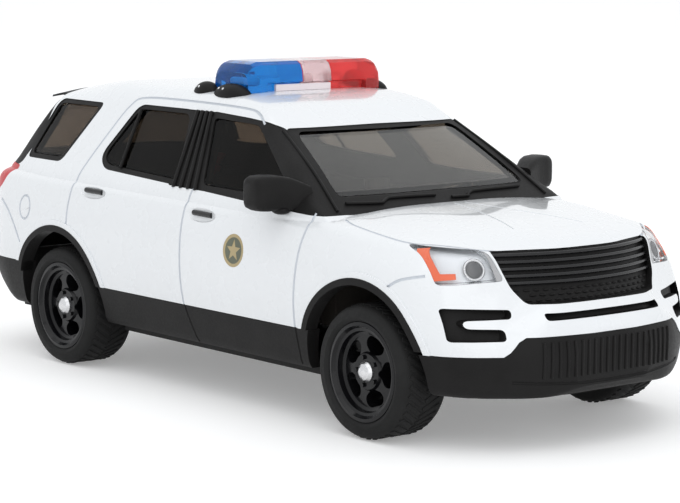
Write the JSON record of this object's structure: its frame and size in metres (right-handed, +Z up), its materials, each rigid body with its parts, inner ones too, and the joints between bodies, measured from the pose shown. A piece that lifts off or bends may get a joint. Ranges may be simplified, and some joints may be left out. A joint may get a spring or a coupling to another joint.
{
  "type": "toy police suv",
  "caption": "Die-cast toy police SUV with a white body, dark lower mouldings, smoked windows and a roof light bar, on two free-rolling axle sets.",
  "frame": {"origin": "on the floor under the middle of the bounding box", "axes": "+X toward the nose, +Y to the car's left, +Z up"},
  "size_m": [0.0748, 0.035, 0.0297],
  "materials": {
    "white_paint": "gloss",
    "smoked_glass": "gloss",
    "dark_plastic": "satin",
    "clear_lens": "gloss",
    "red_lens": "gloss",
    "blue_lens": "gloss",
    "steel": "bright",
    "cabin_plastic": "matt",
    "wheel_plastic": "gloss",
    "tyre_rubber": "matt"
  },
  "bodies": {
    "car": {"body_shell": "white_paint", "window_moulding": "smoked_glass", "grille": "dark_plastic", "headlamp_left": "clear_lens", "headlamp_right": "clear_lens", "tail_lamp_left": "red_lens", "tail_lamp_right": "red_lens", "front_valance": "dark_plastic", "rear_valance": "dark_plastic", "sill_left": "dark_plastic", "sill_right": "dark_plastic", "arch_mouldings": "dark_plastic", "mirror_left": "dark_plastic", "mirror_right": "dark_plastic", "rear_spoiler": "dark_plastic", "light_bar_tray": "dark_plastic", "lens_blue": "blue_lens", "lens_clear": "clear_lens", "lens_red": "red_lens", "base_plate": "dark_plastic", "base_rivets": "steel", "cabin_tub": "cabin_plastic", "steering_wheel": "dark_plastic"},
    "front_axle_set": {"front_axle": "steel", "wheel_front_left": "wheel_plastic", "wheel_front_right": "wheel_plastic", "tyre_front_left": "tyre_rubber", "tyre_front_right": "tyre_rubber"},
    "rear_axle_set": {"rear_axle": "steel", "wheel_rear_left": "wheel_plastic", "wheel_rear_right": "wheel_plastic", "tyre_rear_left": "tyre_rubber", "tyre_rear_right": "tyre_rubber"}
  },
  "joints": [
    {"name": "front_roll", "type": "hinge", "parent": "car", "child": "front_axle_set", "pos_m": [0.02355, 0, 0.00565], "axis": [0, 1, 0], "continuous": true},
    {"name": "rear_roll", "type": "hinge", "parent": "car", "child": "rear_axle_set", "pos_m": [-0.02115, 0, 0.00565], "axis": [0, 1, 0], "continuous": true}
  ]
}
